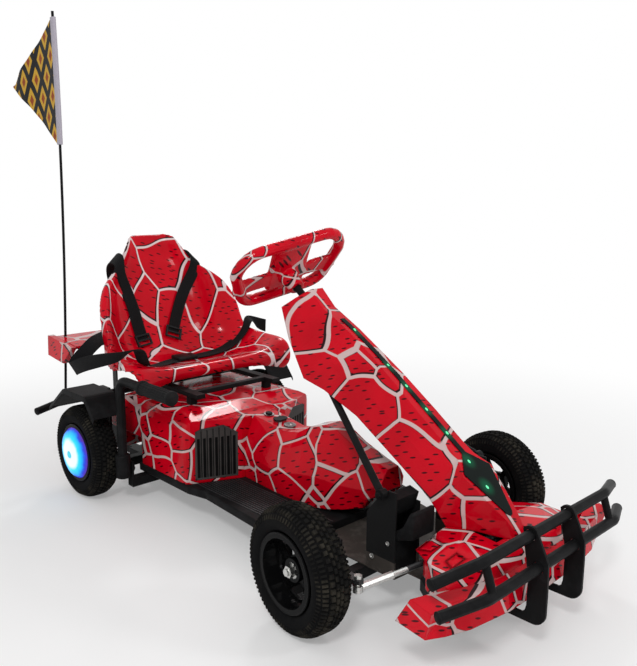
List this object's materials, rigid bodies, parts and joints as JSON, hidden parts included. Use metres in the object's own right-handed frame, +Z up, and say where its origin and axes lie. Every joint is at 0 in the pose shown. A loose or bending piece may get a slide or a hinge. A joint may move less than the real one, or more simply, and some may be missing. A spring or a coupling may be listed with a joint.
{
  "type": "electric go-kart",
  "caption": "Low electric go-kart with moulded red covers, tube bumper, steered front wheels, hub-motor rear wheels, sliding bucket seat, side lever and tall pennant.",
  "frame": {"origin": "on the ground under the middle of the outer box", "axes": "+Z up; -Y towards the nose; the driver's right hand is on -X"},
  "size_m": [0.764, 1.809, 1.3351],
  "materials": {
    "gloss_red_plastic": "high gloss",
    "black_plastic": "satin",
    "black_painted_steel": "satin powder coat",
    "tyre_rubber": "matte",
    "grip_rubber": "matte",
    "zinc_plate": "zinc plated",
    "controller_case": "cast, plain",
    "grey_steel_plate": "grey, dull",
    "smoked_lens": "smoked, clear gloss",
    "lit_disc": "lit from behind",
    "webbing": "woven",
    "pennant_cloth": "printed cloth",
    "battery_case": "plain"
  },
  "bodies": {
    "frame": {"battery_pack": "battery_case", "bumper_bars": "black_painted_steel", "bumper_plate_left": "black_painted_steel", "bumper_plate_right": "black_painted_steel", "chassis_frame": "black_painted_steel", "column_cover": "gloss_red_plastic", "column_stay_left": "black_painted_steel", "column_stay_right": "black_painted_steel", "column_tube": "black_painted_steel", "flag_pole": "black_painted_steel", "floor_tray": "black_plastic", "front_grille": "black_plastic", "front_spoiler": "gloss_red_plastic", "kingpin_left": "zinc_plate", "kingpin_right": "zinc_plate", "light_strip": "smoked_lens", "motor_controller": "controller_case", "mudguard_left": "black_plastic", "mudguard_right": "black_plastic", "nose_cover": "gloss_red_plastic", "nose_tray": "black_plastic", "pedal_housing_left": "black_plastic", "pedal_housing_right": "black_plastic", "pedal_plate": "grey_steel_plate", "pennant": "pennant_cloth", "rear_axle_left": "zinc_plate", "rear_axle_right": "zinc_plate", "rear_bar": "black_painted_steel", "rear_body_cover": "gloss_red_plastic", "rear_wing": "gloss_red_plastic", "seat_rails": "black_painted_steel", "steering_bearing": "black_painted_steel", "tunnel_cover": "gloss_red_plastic", "tunnel_fittings": "black_plastic"},
    "steering": {"steering_shaft": "black_painted_steel", "steering_wheel": "gloss_red_plastic"},
    "front_corner_right": {"knuckle_right": "black_painted_steel"},
    "front_wheel_right": {"front_rim_right": "black_painted_steel", "front_tyre_right": "tyre_rubber"},
    "steering_rod_right": {"tie_rod_right": "zinc_plate"},
    "rear_wheel_right": {"rear_hub_right": "black_painted_steel", "rear_tyre_right": "tyre_rubber", "light_disc_right": "lit_disc"},
    "front_corner_left": {"knuckle_left": "black_painted_steel"},
    "front_wheel_left": {"front_rim_left": "black_painted_steel", "front_tyre_left": "tyre_rubber"},
    "steering_rod_left": {"tie_rod_left": "zinc_plate"},
    "rear_wheel_left": {"rear_hub_left": "black_painted_steel", "rear_tyre_left": "tyre_rubber", "light_disc_left": "lit_disc"},
    "accelerator_pedal_arm": {"accelerator_pedal": "black_plastic"},
    "brake_pedal_arm": {"brake_pedal": "black_plastic"},
    "lever": {"side_lever": "black_painted_steel", "lever_grip": "grip_rubber"},
    "seat": {"seat_shell": "gloss_red_plastic", "seat_slider": "black_painted_steel", "shoulder_harness": "webbing", "lap_belt": "webbing"},
    "button": {"power_button": "black_plastic"},
    "charge_cap_lid": {"charge_cap": "black_plastic"}
  },
  "joints": [
    {"name": "steering_turn", "type": "hinge", "parent": "frame", "child": "steering", "pos_m": [0, -0.1475, 0.6145], "axis": [0, 0.7934, 0.6088], "range_deg": [-30, 40]},
    {"name": "kingpin_right", "type": "hinge", "parent": "frame", "child": "front_corner_right", "pos_m": [-0.262, -0.5265, 0.13], "axis": [0, 0, 1], "range_deg": [-10, 13]},
    {"name": "front_wheel_spin_right", "type": "hinge", "parent": "front_corner_right", "child": "front_wheel_right", "pos_m": [-0.33299, -0.51991, 0.13], "axis": [0.9957, -0.0924, 0], "continuous": true},
    {"name": "tie_rod_pivot_right", "type": "hinge", "parent": "front_corner_right", "child": "steering_rod_right", "pos_m": [-0.26089, -0.61197, 0.11], "axis": [0, 0, 1], "range_deg": [-13, 10]},
    {"name": "rear_wheel_spin_right", "type": "hinge", "parent": "frame", "child": "rear_wheel_right", "pos_m": [-0.3139, 0.3871, 0.13], "axis": [1, 0, 0], "continuous": true},
    {"name": "kingpin_left", "type": "hinge", "parent": "frame", "child": "front_corner_left", "pos_m": [0.262, -0.5265, 0.13], "axis": [0, 0, 1], "range_deg": [-10, 13]},
    {"name": "front_wheel_spin_left", "type": "hinge", "parent": "front_corner_left", "child": "front_wheel_left", "pos_m": [0.33299, -0.53309, 0.13], "axis": [0.9957, -0.0924, 0], "continuous": true},
    {"name": "tie_rod_pivot_left", "type": "hinge", "parent": "front_corner_left", "child": "steering_rod_left", "pos_m": [0.24519, -0.6103, 0.11], "axis": [0, 0, 1], "range_deg": [-13, 10]},
    {"name": "rear_wheel_spin_left", "type": "hinge", "parent": "frame", "child": "rear_wheel_left", "pos_m": [0.3139, 0.3871, 0.13], "axis": [1, 0, 0], "continuous": true},
    {"name": "accelerator_pedal_hinge", "type": "hinge", "parent": "frame", "child": "accelerator_pedal_arm", "pos_m": [-0.1175, -0.5545, 0.108], "axis": [1, 0, 0], "range_deg": [0, 12], "stiffness_Nm_per_rad": 4, "springref_deg": -6.88},
    {"name": "brake_pedal_hinge", "type": "hinge", "parent": "frame", "child": "brake_pedal_arm", "pos_m": [0.1175, -0.5545, 0.108], "axis": [1, 0, 0], "range_deg": [0, 12], "stiffness_Nm_per_rad": 4, "springref_deg": -6.88},
    {"name": "side_lever_hinge", "type": "hinge", "parent": "frame", "child": "lever", "pos_m": [-0.285, 0.2395, 0.105], "axis": [1, 0, 0], "range_deg": [0, 20]},
    {"name": "seat_slide", "type": "slide", "parent": "frame", "child": "seat", "axis": [0, 1, 0], "range_m": [-0.03, 0.01]},
    {"name": "power_button_press", "type": "slide", "parent": "frame", "child": "button", "axis": [0, -0.1303, 0.9915], "range_m": [-0.0015, 0], "stiffness_N_per_m": 400, "springref_m": 0.0008},
    {"name": "charge_cap_hinge", "type": "hinge", "parent": "frame", "child": "charge_cap_lid", "pos_m": [0, -0.06692, 0.26238], "axis": [1, 0, 0], "range_deg": [-110, 0]}
  ],
  "couplings": [
    {"joint": "kingpin_right", "follows": "steering_turn", "ratio": 0.28235},
    {"joint": "tie_rod_pivot_right", "follows": "steering_turn", "ratio": -0.28235},
    {"joint": "kingpin_left", "follows": "steering_turn", "ratio": 0.28235},
    {"joint": "tie_rod_pivot_left", "follows": "steering_turn", "ratio": -0.28235}
  ]
}
